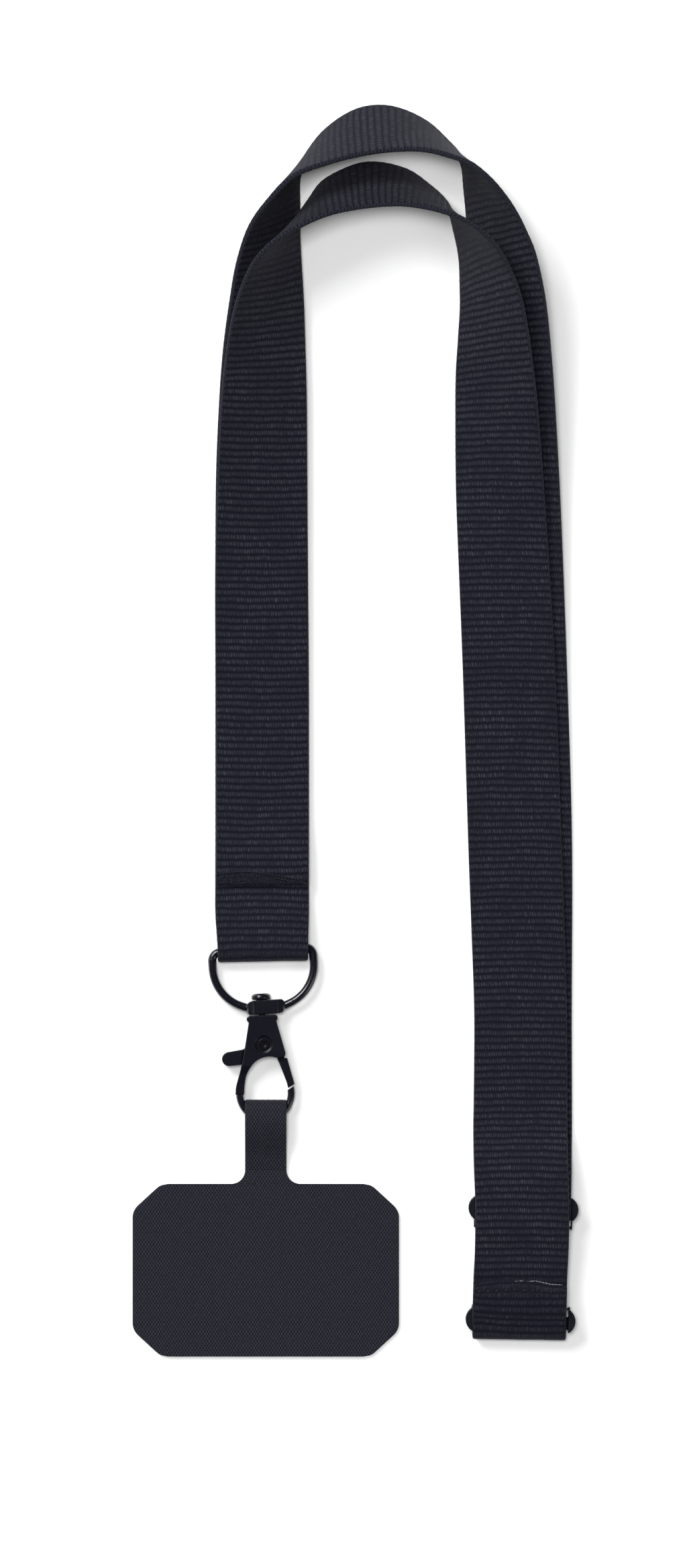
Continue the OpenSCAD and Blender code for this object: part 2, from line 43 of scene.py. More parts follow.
# ---------------------------------------------------------------- strap routes
# Each row is a point on the outer edge and the point across from it on the inner edge, at
# mid thickness: the same routes as the CAD straps.
FRONT_ROUTE = [
    (-29.7, -32.6, 3.15, -10.0, -32.6, 3.15), (-29.65, -26, 3.15, -10.0, -26, 3.15),
    (-29.65, -17, 2.0, -10.0, -17, 2.0), (-29.65, -3, 2.0, -10.05, -3, 1.95),
    (-29.75, 10, 2.3, -10.1, 10, 1.95), (-29.8, 35, 4.45, -10.25, 35, 2.05),
    (-29.25, 55, 7.1, -10.35, 55, 2.15), (-28.5, 70, 9.7, -10.5, 70.3, 2.2),
    (-27.4, 80, 12.2, -10.85, 81.5, 2.2), (-26.2, 87, 14.4, -11.15, 89.2, 2.4),
    (-24.5, 93, 16.5, -11.55, 96, 2.6), (-21.7, 99, 18.6, -12.0, 102.8, 2.8),
    (-17.2, 103.6, 20.4, -11.9, 108.6, 2.6), (-11.8, 106.8, 20.8, -9.6, 113.1, 2.0),
    (-5.0, 109.55, 19.8, -6.0, 117.5, 1.3), (2.5, 111.0, 18.2, 2.0, 120.75, 0.8),
    (9.0, 111.45, 18.9, 10.0, 119.55, 0.8), (14.5, 110.9, 19.8, 15.6, 115.9, 0.9),
    (20.0, 109.45, 20.8, 19.5, 111.8, 1.2), (25.2, 107, 20.6, 21.2, 106.3, 1.6),
    (29.2, 103.6, 19.6, 22.2, 100.8, 1.8), (32.2, 99, 18.2, 22.4, 95.2, 1.9),
    (34.8, 92.6, 16.4, 22.4, 89.8, 1.9), (36.4, 85.5, 14.6, 22.0, 83.5, 1.9),
    (37.5, 78, 12.6, 21.5, 76.5, 1.9), (38.6, 69, 10.4, 21.35, 68.5, 1.9),
    (40.0, 52, 6.8, 21.4, 52, 1.9), (41.2, 35, 4.4, 22.0, 35, 1.9), (42.5, 12, 2.6, 22.9, 12, 1.9),
    (43.8, -23, 1.9, 24.0, -23, 1.9), (44.4, -42, 1.9, 24.7, -42, 1.9),
    (44.9, -60, 1.9, 25.3, -60, 1.9), (45.0, -78, 1.9, 25.2, -78, 1.9),
    (45.0, -84, 2.7, 25.1, -84, 2.7), (45.1, -90, 5.2, 25.15, -90, 5.2),
    (45.2, -95, 6.4, 25.3, -95, 6.4), (45.3, -100, 6.6, 25.5, -100, 6.6),
    (45.35, -105.5, 6.6, 25.5, -105.5, 6.6), (45.2, -111, 5.7, 25.4, -111, 5.7),
    (44.95, -116, 5.42, 25.15, -116, 5.42), (44.75, -121.5, 5.42, 25.0, -120.8, 5.42),
    (44.7, -123.2, 5.4, 24.95, -122.5, 5.4), (44.7, -123.85, 4.9, 24.95, -123.15, 4.9),
    (44.7, -124.0, 4.0, 24.95, -123.3, 4.0), (44.7, -124.05, 2.8, 24.95, -123.35, 2.8),
    (44.7, -124.25, 1.6, 24.95, -123.55, 1.6), (44.7, -124.85, 0.95, 24.95, -124.15, 0.95),
    (44.7, -126.15, 0.75, 24.9, -125.6, 0.75), (44.7, -127.55, 0.9, 24.9, -127.1, 0.9),
    (44.7, -128.6, 1.7, 24.9, -128.2, 1.7), (44.7, -129.0, 2.9, 24.9, -128.7, 2.9),
    (44.7, -128.6, 4.1, 24.9, -128.2, 4.1), (44.7, -127.45, 4.95, 24.9, -126.95, 4.95),
    (44.7, -126.15, 5.3, 24.9, -125.6, 5.3), (44.7, -124.95, 5.75, 24.9, -124.35, 5.75),
    (44.75, -123.65, 6.5, 24.95, -123.15, 6.5), (44.8, -122, 6.75, 25.0, -121.8, 6.75),
    (44.85, -120, 6.75, 25.05, -120, 6.75), (44.95, -117.1, 6.75, 25.15, -117.1, 6.75)]
REAR_ROUTE = [
    (-29.8, -27.5, 1.9, -10.0, -27.5, 1.9), (-29.8, -33, 1.9, -10.0, -33, 1.9),
    (-29.8, -38, 2.7, -10.0, -38, 2.7), (-29.5, -43, 3.85, -10.1, -43, 3.85),
    (-29.3, -46, 4.1, -10.15, -46, 4.1), (-29.25, -48.05, 3.72, -10.17, -47.7, 3.72),
    (-29.25, -48.75, 2.45, -10.17, -48.35, 2.45), (-29.25, -48.05, 1.18, -10.17, -47.7, 1.18),
    (-29.3, -46, 0.8, -10.15, -46, 0.8), (-29.5, -43, 0.72, -10.1, -43, 0.72),
    (-29.8, -38, 0.65, -10.0, -38, 0.65), (-29.8, -20, 0.65, -10.0, -20, 0.65),
    (-29.8, 10, 0.8, -10.0, 10, 0.65), (-29.8, 35, 2.8, -10.2, 35, 0.65),
    (-29.6, 55, 5.2, -10.4, 55, 0.65), (-28.9, 70, 7.8, -10.6, 70, 0.65),
    (-28.0, 81, 10.2, -11.2, 82.3, 0.65), (-26.6, 91, 12.7, -11.6, 93.2, 0.65),
    (-25.0, 99.5, 15.0, -12.0, 103, 0.65), (-22.4, 106.8, 17.2, -12.1, 111.5, 0.65),
    (-18.4, 112.3, 18.9, -12.1, 117.9, 0.65), (-13.1, 117.4, 19.6, -10.2, 122.7, 0.65),
    (-6.5, 120.0, 18.9, -6.2, 127.9, 0.65), (1.0, 121.95, 17.8, 0.4, 132.15, 0.65),
    (8.0, 122.95, 17.9, 7.4, 132.7, 0.65), (14.3, 123.0, 18.6, 14.3, 129.9, 0.65),
    (19.8, 121.8, 19.5, 19.3, 125.5, 0.65), (24.8, 119.8, 20.1, 22.5, 121.2, 0.65),
    (29.5, 115.9, 19.6, 23.3, 115.6, 0.65), (33.6, 110.6, 18.0, 23.8, 108.5, 0.65),
    (36.4, 105.2, 16.0, 24.1, 102.2, 0.65), (38.3, 100.3, 14.4, 24.2, 97.5, 0.65),
    (40.2, 91.5, 12.2, 24.2, 89.5, 0.65), (41.5, 80, 9.8, 24.1, 79, 0.65),
    (42.5, 67, 7.2, 24.0, 66.5, 0.65), (43.6, 47, 4.0, 24.2, 47, 0.65),
    (44.9, 14, 1.6, 25.2, 14, 0.65), (46.0, -23, 0.65, 26.2, -23, 0.65),
    (45.95, -60, 0.65, 26.15, -60, 0.65), (46.0, -84, 0.65, 26.2, -84, 0.65),
    (45.85, -95, 0.7, 26.05, -95, 0.7), (45.75, -101.2, 0.72, 26.0, -100.6, 0.72),
    (45.75, -103.05, 0.95, 26.0, -102.35, 0.95), (45.75, -103.65, 1.7, 26.0, -102.95, 1.7),
    (45.75, -103.7, 2.8, 26.0, -103.0, 2.8), (45.75, -103.5, 4.1, 26.0, -102.8, 4.1),
    (45.75, -102.8, 4.9, 26.0, -102.1, 4.9), (45.75, -101.4, 5.1, 26.0, -100.7, 5.1),
    (45.85, -96, 4.95, 26.05, -96, 4.95), (45.9, -93.2, 4.5, 26.1, -93.2, 4.5),
    (45.9, -90.6, 2.7, 26.1, -90.6, 2.7), (45.9, -88.6, 2.0, 26.1, -88.6, 2.0),
    (45.9, -86.5, 1.95, 26.1, -86.5, 1.95)]

# Webbing: its greatest width and its thickness, the pitch of its ribs, the steps in one pitch,
# the depth of a rib, the pitch of the threads along a rib, and the points across one face
STRAP_W = 20.1
STRAP_T = 1.2
RIB = 1.48
RIB_STEPS = 5
RIB_HEIGHT = 0.055
THREAD = 0.5
ACROSS = 31
# Added to the route's width for the yarn at the edges, and how far the edge dips between ribs
EDGE_YARN = 0.15
EDGE_DIP = 0.02
# Unevenness of the faces, and where sewing or heat has pressed them in: how far, how uneven
UNEVEN = 0.02
PRESSED_IN = 0.14
PRESSED_UNEVEN = 0.05
# How far a rib bows along the strap, how far it wanders, and where both fade out at the ends
RIB_BOW = 0.22
RIB_WANDER = 0.12
END_FADE = 3
# Powers that round off an edge: the higher, the squarer
WEB_EDGE = 60
CLOTH_EDGE = 90

# Cut edge of the flap and boundary of the sewn band at the D-ring, as (u, mm along the strap)
FLAP_CUT = [(-1, -0.45), (-0.71, 0.13), (-0.47, 0.4), (-0.08, 0.5), (0.29, 0.3), (0.47, -0.1),
            (0.65, -0.5), (0.89, -0.6), (1, -1.2)]
RING_BAND = [(-1, 0.5), (-0.92, 0.75), (-0.78, 1.12), (-0.6, 1.45), (-0.41, 1.8), (-0.2, 2.12),
             (0, 2.45), (0.2, 2.7), (0.4, 2.8), (0.6, 2.72), (0.8, 2.5), (1, 2.3)]

# Places along the straps where they change, each as a pair of distances in mm between which the
# change fades in. Front strap, from its end at the cut flap: the seal of the cut, the crease
# under it, the two ends of the flap, which is darkened, and the dip under the flap, where
# shade is painted into the colour
SEAL = (0.5, 0.1)
CREASE_AT = 2.1
CREASE = (0.4, 0.1)
CREASE_PRESS = 0.8
LAP_FAR = (24.5, 22.5)
LAP_NEAR = (1.3, 0.8)
LAP_DARKENING = 0.45
DIP_FAR = (36.0, 25.5)
DIP_NEAR = (21.5, 23.5)
DIP_BOW = 1.2
CUT_WANDER = (4.0, 0.0)
BAND_SOFT = 0.15
# Rear strap, from its start: the fold round the D-ring's bar
RING_FOLD_AT = 21.9
RING_FOLD = (3.4, 1.2)
RING_FOLD_PRESS = 0.6

# Sewn band at the D-ring: its middle, half width and the height of its threads
BAND_MIDDLE = (-19.85, -32.6)
BAND_HALF_W = 9.8
BAND_TOP = 3.72
# Cut flap: middle of its edge, half width, and heights of its stitches, bead and the drops that
# stand for glints, painted pale as a highlight
FLAP_MIDDLE = (35.05, -117.08)
FLAP_HALF_W = 9.9
FLAP_TOP = 7.27
BEAD_Z = 7.28
GLINT_DROP_Y = -117.15
GLINT_DROP_Z = 7.33
GLINT_DROP_R = 0.07

# Phone patch
PAD_W = 56.7
PAD_TOP = -96.4
PAD_H = 36.7
CHAMFER = (6.1, 5.6)
CORNER_R = 3.5
FILLET_R = 3.0
TAB_W = 8.8
TAB_X = -19.12
CLOTH_T = 0.4
CORE_T = 0.2
HOOK_Z = 2.45
LOOP_R = 2.1
FOLD_Y = -80.7
WEAVE = (0.66, 1.0)
FACE_Z = CLOTH_T * 1.5 + CORE_T
WEAVE_DEPTH = 0.05


# ---------------------------------------------------------------- curves and meshes
def catmull(rows, steps):
    """Catmull-Rom curve through the rows, steps points per span."""
    p = np.array(rows, float)
    ext = np.vstack([p[:1], p, p[-1:]])
    t = (np.arange(steps) / steps)[:, None, None]
    a, b, c, d = ext[:-3], ext[1:-2], ext[2:-1], ext[3:]
    curve = 0.5 * (2 * b + (c - a) * t + (2 * a - 5 * b + 4 * c - d) * t**2
                   + (3 * b - a - 3 * c + d) * t**3)
    return np.vstack([curve.transpose(1, 0, 2).reshape(-1, p.shape[1]), p[-1:]])


def evenly(rows, middle, spacing):
    """The rows again, at equal distances along the middle line, and those distances."""
    s = np.concatenate([[0], np.cumsum(np.linalg.norm(np.diff(middle, axis=0), axis=1))])
    at = np.linspace(0, s[-1], int(round(s[-1] / spacing)) + 1)
    return np.stack([np.interp(at, s, column) for column in rows.T], axis=1), at


def unit(v):
    return v / np.linalg.norm(v, axis=-1, keepdims=True)


def smoothstep(low, high, x):
    t = np.clip((x - low) / (high - low), 0, 1)
    return t * t * (3 - 2 * t)


def table_at(table, x):
    """Value at x of a table of (x, value) pairs."""
    keys, values = zip(*table)
    return np.interp(x, keys, values)


def waves(x, lengths, seed):
    """Gentle unevenness between about -1 and 1, from a few sines with seeded phases."""
    phases = np.random.default_rng(seed).uniform(0, 2 * math.pi, len(lengths))
    return sum(np.sin(2 * math.pi * x / w + p) for w, p in zip(lengths, phases)) / len(lengths)


def make_object(name, points, faces, uv=None, marks=None):
    """A mesh piece from points in millimetres. uv and marks are given per vertex."""
    mesh = bpy.data.meshes.new(name)
    mesh.from_pydata((np.asarray(points) * MM).tolist(), [], faces)
    mesh.update()
    if uv is not None:
        corner = np.empty(len(mesh.loops), int)
        mesh.loops.foreach_get("vertex_index", corner)
        layer = mesh.uv_layers.new(name="UVMap")
        layer.data.foreach_set("uv", np.asarray(uv, float)[corner].ravel())
    for key, values in (marks or {}).items():
        layer = mesh.attributes.new(key, "FLOAT", "POINT")
        layer.data.foreach_set("value", np.asarray(values, float).ravel())
    mesh.polygons.foreach_set("use_smooth", [True] * len(mesh.polygons))
    piece = bpy.data.objects.new(name, mesh)
    bpy.context.scene.collection.objects.link(piece)
    return piece


def ring_faces(rings, around, first=0):
    """Quads between rings of points, and the two end caps."""
    i = np.arange(rings - 1)[:, None] * around + first
    k = np.arange(around)[None, :]
    after = (k + 1) % around
    quads = np.stack([i + k, i + after, i + around + after, i + around + k], axis=-1)
    start = list(range(first, first + around))[::-1]
    end = list(range(first + (rings - 1) * around, first + rings * around))
    return quads.reshape(-1, 4).tolist() + [start, end]


# ---------------------------------------------------------------- webbing
def webbing(name, route, seed, shift, press, painted_shade_and_dark_flap):
    """Woven strap along a route. shift moves a point along the strap, press flattens the ribs
    and the last function darkens their colour as painted shade and darker tones (0 to 1):
    functions of u (-1 to 1 across), distance, whole length."""
    rows = catmull(route, 24)
    rows, s = evenly(rows, (rows[:, :3] + rows[:, 3:]) / 2, RIB / RIB_STEPS)
    outer, inner = rows[:, :3], rows[:, 3:]
    mid = (outer + inner) / 2
    along = unit(np.gradient(mid, axis=0))
    across = unit(outer - inner)
    up = unit(np.cross(across, along))
    width = np.minimum(STRAP_W, np.linalg.norm(outer - inner, axis=1) + EDGE_YARN)

    crowded = 1.5  # angle in radians whose sine draws the points towards the edges
    top = np.sin(np.linspace(crowded, -crowded, ACROSS)) / math.sin(crowded)
    u = np.concatenate([top, top[-2:0:-1]])
    side = np.concatenate([np.ones(ACROSS), -np.ones(ACROSS - 2)])
    u, s_grid = np.meshgrid(u, s)

    phase = s_grid / RIB + 0.25 * (1 - side)
    flat = press(u, s_grid, s[-1])
    rib = np.sqrt(np.abs(np.sin(math.pi * phase))) * 2 - 1
    uneven = UNEVEN * waves(s_grid + 7 * u, (23, 9.1, 5.3), seed)
    half = STRAP_T / 2 - RIB_HEIGHT / 2 + 0.01 + uneven
    half = half + rib * RIB_HEIGHT / 2 * (1 - flat) - PRESSED_IN * flat
    half = half + PRESSED_UNEVEN * flat * waves(s_grid * 3 + 40 * u, (3.1, 1.7, 1.1), seed + 2)
    half = half * np.sqrt(np.clip(1 - np.abs(u)**WEB_EDGE, 0, 1))

    wander = RIB_WANDER * waves(s_grid * 0.6 + 9 * u, (31, 13, 7), seed + 1)
    bow = RIB_BOW * (u**2 - 0.4) + wander
    from_end = np.minimum(s_grid, s[-1] - s_grid)
    move = bow * smoothstep(0, END_FADE, from_end) + shift(u, s_grid, s[-1])
    reach = width[:, None] / 2 - EDGE_DIP + EDGE_DIP * np.abs(np.sin(math.pi * phase))
    points = (mid[:, None] + across[:, None] * (u * reach)[..., None]
              + up[:, None] * (half * side)[..., None] + along[:, None] * move[..., None])
    uv = np.stack([u * STRAP_W / 2 / THREAD, phase], axis=-1)
    return make_object(name, points.reshape(-1, 3), ring_faces(len(s), u.shape[1]),
                       uv.reshape(-1, 2), {"pressed": flat, "edge": np.abs(u),
                                          "painted_shade_and_dark_flap": painted_shade_and_dark_flap(u, s_grid, s[-1])})


def front_press(u, s, total):
    """Sewn band at the D-ring, and the sealed edge of the cut flap."""
    line = table_at(RING_BAND, u)
    band = smoothstep(line + BAND_SOFT, line - BAND_SOFT, s)
    sealed = smoothstep(*SEAL, total - s)
    crease = CREASE_PRESS * smoothstep(*CREASE, np.abs(total - s - CREASE_AT))
    return np.maximum(np.maximum(band, sealed), crease)


def front_shift(u, s, total):
    """The flap's heat-cut edge wanders; it fades out away from the cut."""
    return smoothstep(*CUT_WANDER, total - s) * table_at(FLAP_CUT, u)


def rear_press(u, s, total):
    """Ribs squeezed flat where the rear strap folds round the D-ring."""
    return RING_FOLD_PRESS * smoothstep(*RING_FOLD, np.abs(s - RING_FOLD_AT))


def none(u, s, total):
    """No change anywhere along the strap."""
    return 0 * s


def front_painted_shade_and_dark_flap(u, s, total):
    """Painted shade where the strap dips under the flap, and the flap itself darker and dull."""
    left = total - s
    lap = smoothstep(*LAP_FAR, left) - smoothstep(*LAP_NEAR, left)
    # Painted shade along the dip under the flap
    dip = smoothstep(*DIP_FAR, left + DIP_BOW * (1 - u**2)) * smoothstep(*DIP_NEAR, left)
    return np.maximum(LAP_DARKENING * lap, dip)


# ---------------------------------------------------------------- cloth of the phone patch
def weave_height(x, y):
    """Height of the weave between 0 and 1: dips in staggered rows, one per repeat."""
    low = np.cos(2 * math.pi * x) * np.cos(2 * math.pi * y)
    return 1 - np.clip(low, 0, 1)


def cloth(name, strips):
    """Closed cloth made of strips: each is rows of (y, z, half width), an across count and
    the depth in mm of the weave on its upper face."""
    points, uv, faces = [], [], []
    for rows, count, relief in strips:
        line = rows[:, :2]
        walked = np.concatenate([[0], np.cumsum(np.linalg.norm(np.diff(line, axis=0), axis=1))])
        heading = unit(np.gradient(line, axis=0))
        u_top = np.linspace(1, -1, count)
        u = np.concatenate([u_top, u_top[-2:0:-1]])
        side = np.concatenate([np.ones(count), -np.ones(count - 2)])
        x = TAB_X + rows[:, 2:3] * u[None, :]
        y0 = rows[0, 0] + walked[:, None] + 0 * x
        rim = np.sqrt(np.clip(1 - np.abs(u)**CLOTH_EDGE, 0, 1))
        thick = CLOTH_T / 2 * rim * side
        if relief:
            dips = 1 - weave_height(x / WEAVE[0] / 2, y0 / WEAVE[1] / 2)
            thick = thick - (side > 0) * rim * relief * dips
        y = rows[:, 0:1] - heading[:, 1:2] * thick
        z = rows[:, 1:2] + heading[:, 0:1] * thick
        faces += ring_faces(len(rows), len(u), sum(len(p) for p in points))
        points.append(np.stack([x, y, z], axis=-1).reshape(-1, 3))
        uv.append(np.stack([x, y0], axis=-1).reshape(-1, 2))
    return make_object(name, np.vstack(points), faces, np.vstack(uv))


def pad_half_width(y, inset):
    """Half width of the pad at y: an octagon with rounded corners, drawn in by inset."""
    low, high = PAD_TOP - PAD_H + inset, PAD_TOP - inset
    samples = 400
    centre = np.linspace(low + CORNER_R, high - CORNER_R, samples)
    slope = CHAMFER[0] / CHAMFER[1]
    pull = CORNER_R * math.hypot(1, slope)
    deep = np.minimum(centre - low, high - centre)
    cut = PAD_W / 2 - inset - CHAMFER[0] + slope * deep - pull
    inner = np.minimum(PAD_W / 2 - inset - CORNER_R, cut)
    gap = CORNER_R**2 - (np.atleast_1d(y)[:, None] - centre[None, :])**2
    return np.where(gap >= 0, inner[None, :] + np.sqrt(np.maximum(gap, 0)), 0).max(axis=1)


def pad_rows(z, step, root):
    """Rows of the pad from its lower edge to its upper one, and the root of the tab."""
    y = np.linspace(PAD_TOP - PAD_H, PAD_TOP, int(PAD_H / step))
    wide = pad_half_width(y, 0)
    if root:
        above = np.linspace(0.02, FILLET_R + 0.05, 14)
        dip = np.sqrt(np.maximum(FILLET_R**2 - (FILLET_R - np.minimum(above, FILLET_R))**2, 0))
        y = np.concatenate([y, PAD_TOP + above])
        wide = np.concatenate([wide, TAB_W / 2 + FILLET_R - dip])
    return np.stack([y, np.full(len(y), z), wide], axis=1)


def tab_rows(step):
    """Rows of the tab: up from the pad, round the hook's wire and back down behind."""
    turn = np.radians(np.arange(0, 181, 20))
    fold = np.stack([FOLD_Y + LOOP_R * np.sin(turn), HOOK_Z + LOOP_R * np.cos(turn)], axis=1)
    rise = [(PAD_TOP + FILLET_R, FACE_Z + 0.02), (-92.2, FACE_Z + 0.3), (-89.5, 1.9), (-86.2, 3.7),
            (-83.5, HOOK_Z + LOOP_R)]
    fall = [(-83.5, HOOK_Z - LOOP_R), (-88, 0.25), (PAD_TOP + 0.7, CLOTH_T / 2)]
    line = catmull(np.vstack([rise, fold, fall]), 12)
    line, _ = evenly(line, line, step)
    return np.column_stack([line, np.full(len(line), TAB_W / 2)])


# ---------------------------------------------------------------- threads
def tube(path, radius, around=8):
    """Points, faces and uv of a round thread along a path, radius given per point."""
    path = np.asarray(path, float)
    ahead = unit(np.gradient(path, axis=0))
    almost_up = (0.02, 0.05, 1.0)  # never quite along a thread
    sideways = unit(np.cross(ahead, almost_up))
    over = np.cross(sideways, ahead)
    a = np.linspace(0, 2 * math.pi, around, endpoint=False)
    ring = np.cos(a)[None, :, None] * sideways[:, None] + np.sin(a)[None, :, None] * over[:, None]
    radius = np.broadcast_to(radius, len(path))
    points = path[:, None] + ring * radius[:, None, None]
    walked = np.concatenate([[0], np.cumsum(np.linalg.norm(np.diff(path, axis=0), axis=1))])
    uv = np.stack(np.broadcast_arrays(walked[:, None], (a / (2 * math.pi))[None, :]), axis=-1)
    return points.reshape(-1, 3), ring_faces(len(path), around), uv.reshape(-1, 2)


def tubes(name, paths):
    """One piece from several threads; each path comes with its radius."""
    points, faces, uv, first = [], [], [], 0
    for path, radius in paths:
        p, f, t = tube(path, radius)
        points.append(p)
        uv.append(t)
        faces += [[i + first for i in face] for face in f]
        first += len(p)
    return make_object(name, np.vstack(points), faces, np.vstack(uv))


def stitches(line, pitch, length, thread_r, dip, seed):
    """Stitch paths along a line of (x, y, z): each rises out of the cloth and sinks again."""
    line = catmull(line, 20)
    line, s = evenly(line, line, 0.1)
    local = np.random.default_rng(seed)
    first, points, stray_along, stray_aside = 0.2, 9, 0.06, 0.05
    found = []
    for start in np.arange(first, s[-1] - length, pitch):
        at = start + local.uniform(-stray_along, stray_along) + np.linspace(0, length, points)
        path = np.stack([np.interp(at, s, column) for column in line.T], axis=1)
        path[:, 1] += local.uniform(-stray_aside, stray_aside)
        path[:, 2] -= dip * np.linspace(-1, 1, points)**4
        found.append((path, thread_r))
    return found


def rope(line, turn_mm, apart, thread_r):
    """Two strands twisted round each other along a line, a full turn every turn_mm."""
    line = catmull(line, 20)
    line, s = evenly(line, line, 0.08)
    swing = 2 * math.pi * s / turn_mm
    strands = []
    for start in (0, math.pi):
        offset = np.stack([0 * s, np.sin(swing + start), np.cos(swing + start)], axis=1) * apart
        strands.append((line + offset, thread_r))
    return strands


def band_line(across, down, sunk=0.0):
    """Points on the sewn band: each u across comes with a distance down from its upper edge."""
    x, y = BAND_MIDDLE
    return [(x - BAND_HALF_W * u, y + float(table_at(RING_BAND, u)) - d, BAND_TOP - sunk)
            for u, d in zip(across, np.broadcast_to(down, len(across)))]


def ring_seam_paths():
    """Threads of the band: a cord on top, a twisted pair on the right, two rows of stitches."""
    right = np.linspace(-0.15, -0.97, 7)
    cord = band_line(np.linspace(0.97, -0.8, 12), 0.1)
    pair = band_line(right, 0.75 + 0.15 * right, 0.03)
    left_row = band_line(np.linspace(0.93, 0.1, 6), 1.0, 0.03)
    foot_row = band_line(np.linspace(0.9, 0.3, 5), 2.1, 0.06)
    return ([(catmull(cord, 12), 0.15)]
            + rope(pair, turn_mm=1.4, apart=0.13, thread_r=0.13)
            + stitches(left_row, pitch=1.1, length=0.8, thread_r=0.14, dip=0.22, seed=3)
            + stitches(foot_row, pitch=1.6, length=1.1, thread_r=0.13, dip=0.22, seed=4))


def melted_bead_and_glint_paths():
    """Bead left by the hot cutter along part of the flap's edge, and a few drops beside it that
    stand for glints; their material paints both pale as a highlight.
    """
    x, y = FLAP_MIDDLE
    low, high = 0.30, 0.90
    u = np.linspace(low, high, 30)
    bead = np.stack([x + FLAP_HALF_W * u, y + table_at(FLAP_CUT, u),
                     BEAD_Z + 0.03 * waves(u * 10, (3, 1.1), 8)], axis=1)
    bead_r = 0.07 + 0.03 * np.sin(math.pi * (u - low) / (high - low))
    glint_drops = []
    for at in rng.uniform(-0.1, 0.32, 9):
        edge = GLINT_DROP_Y + float(table_at(FLAP_CUT, at))
        spot = np.array([x + FLAP_HALF_W * at, edge - rng.uniform(0, 0.3), GLINT_DROP_Z])
        reach = rng.uniform(0.12, 0.35)
        slant = (reach, rng.uniform(-0.1, 0.1), 0)
        glint_drops.append((spot + np.outer(np.linspace(-1, 1, 5), slant), GLINT_DROP_R))
    return [(bead, bead_r)] + glint_drops


# ---------------------------------------------------------------- materials
class Shader:
    """A node material built up with short calls."""

    def __init__(self, name):
        self.material = bpy.data.materials.new(name)
        self.material.use_nodes = True
        self.tree = self.material.node_tree
        self.surface = self.tree.nodes["Principled BSDF"]

    def put(self, socket, value):
        """Links or sets one input, whichever the value calls for."""
        if isinstance(value, bpy.types.NodeSocket):
            self.tree.links.new(value, socket)
        elif isinstance(value, tuple) and len(value) == 3 and socket.type == "RGBA":
            socket.default_value = (*value, 1)
        else:
            socket.default_value = value

    def set(self, **values):
        """Inputs of the surface, with underscores for the spaces in their names."""
        for key, value in values.items():
            self.put(self.surface.inputs[key.replace("_", " ")], value)

    def node(self, kind, out, *values, **settings):
        """A node with its settings, its first inputs filled in, and the output asked for."""
        made = self.tree.nodes.new("ShaderNode" + kind)
        for key, value in settings.items():
            setattr(made, key, value)
        for socket, value in zip(made.inputs, values):
            if value is not None:
                self.put(socket, value)
        return made.outputs[out]

    def math(self, kind, a, b=0.0, clamp=False):
        return self.node("Math", 0, a, b, operation=kind, use_clamp=clamp)

    def add(self, a, b):
        return self.math("ADD", a, b)

    def less(self, a, b):
        return self.math("SUBTRACT", a, b)

    def times(self, a, b):
        return self.math("MULTIPLY", a, b)

    def steps(self, value, low, high):
        """0 below low, 1 above high, with a smooth change between."""
        return self.node("MapRange", 0, value, low, high, 0.0, 1.0,
                         interpolation_type="SMOOTHSTEP")

    def mix(self, factor, a, b):
        made = self.tree.nodes.new("ShaderNodeMix")
        made.data_type = "RGBA"
        self.put(made.inputs["Factor"], factor)
        colours = [s for s in made.inputs if s.type == "RGBA"]
        self.put(colours[0], a)
        self.put(colours[1], b)
        return next(s for s in made.outputs if s.type == "RGBA")

    def uv(self):
        place = self.node("UVMap", 0, uv_map="UVMap")
        parts = self.node("SeparateXYZ", 0, place).node
        return parts.outputs[0], parts.outputs[1]

    def mark(self, name):
        """A value that the mesh carries at each vertex."""
        return self.node("Attribute", "Fac", attribute_name=name)

    def vector(self, x, y):
        return self.node("CombineXYZ", 0, x, y)

    def noise(self, vector, scale, detail=2.0):
        return self.node("TexNoise", 0, vector, None, scale, detail)

    def random(self, x, y):
        return self.node("TexWhiteNoise", "Value", self.vector(x, y), noise_dimensions="2D")

    def bump(self, height, depth_mm):
        made = self.tree.nodes.new("ShaderNodeBump")
        made.inputs["Distance"].default_value = depth_mm * MM
        self.put(made.inputs["Height"], height)
        self.put(self.surface.inputs["Normal"], made.outputs[0])


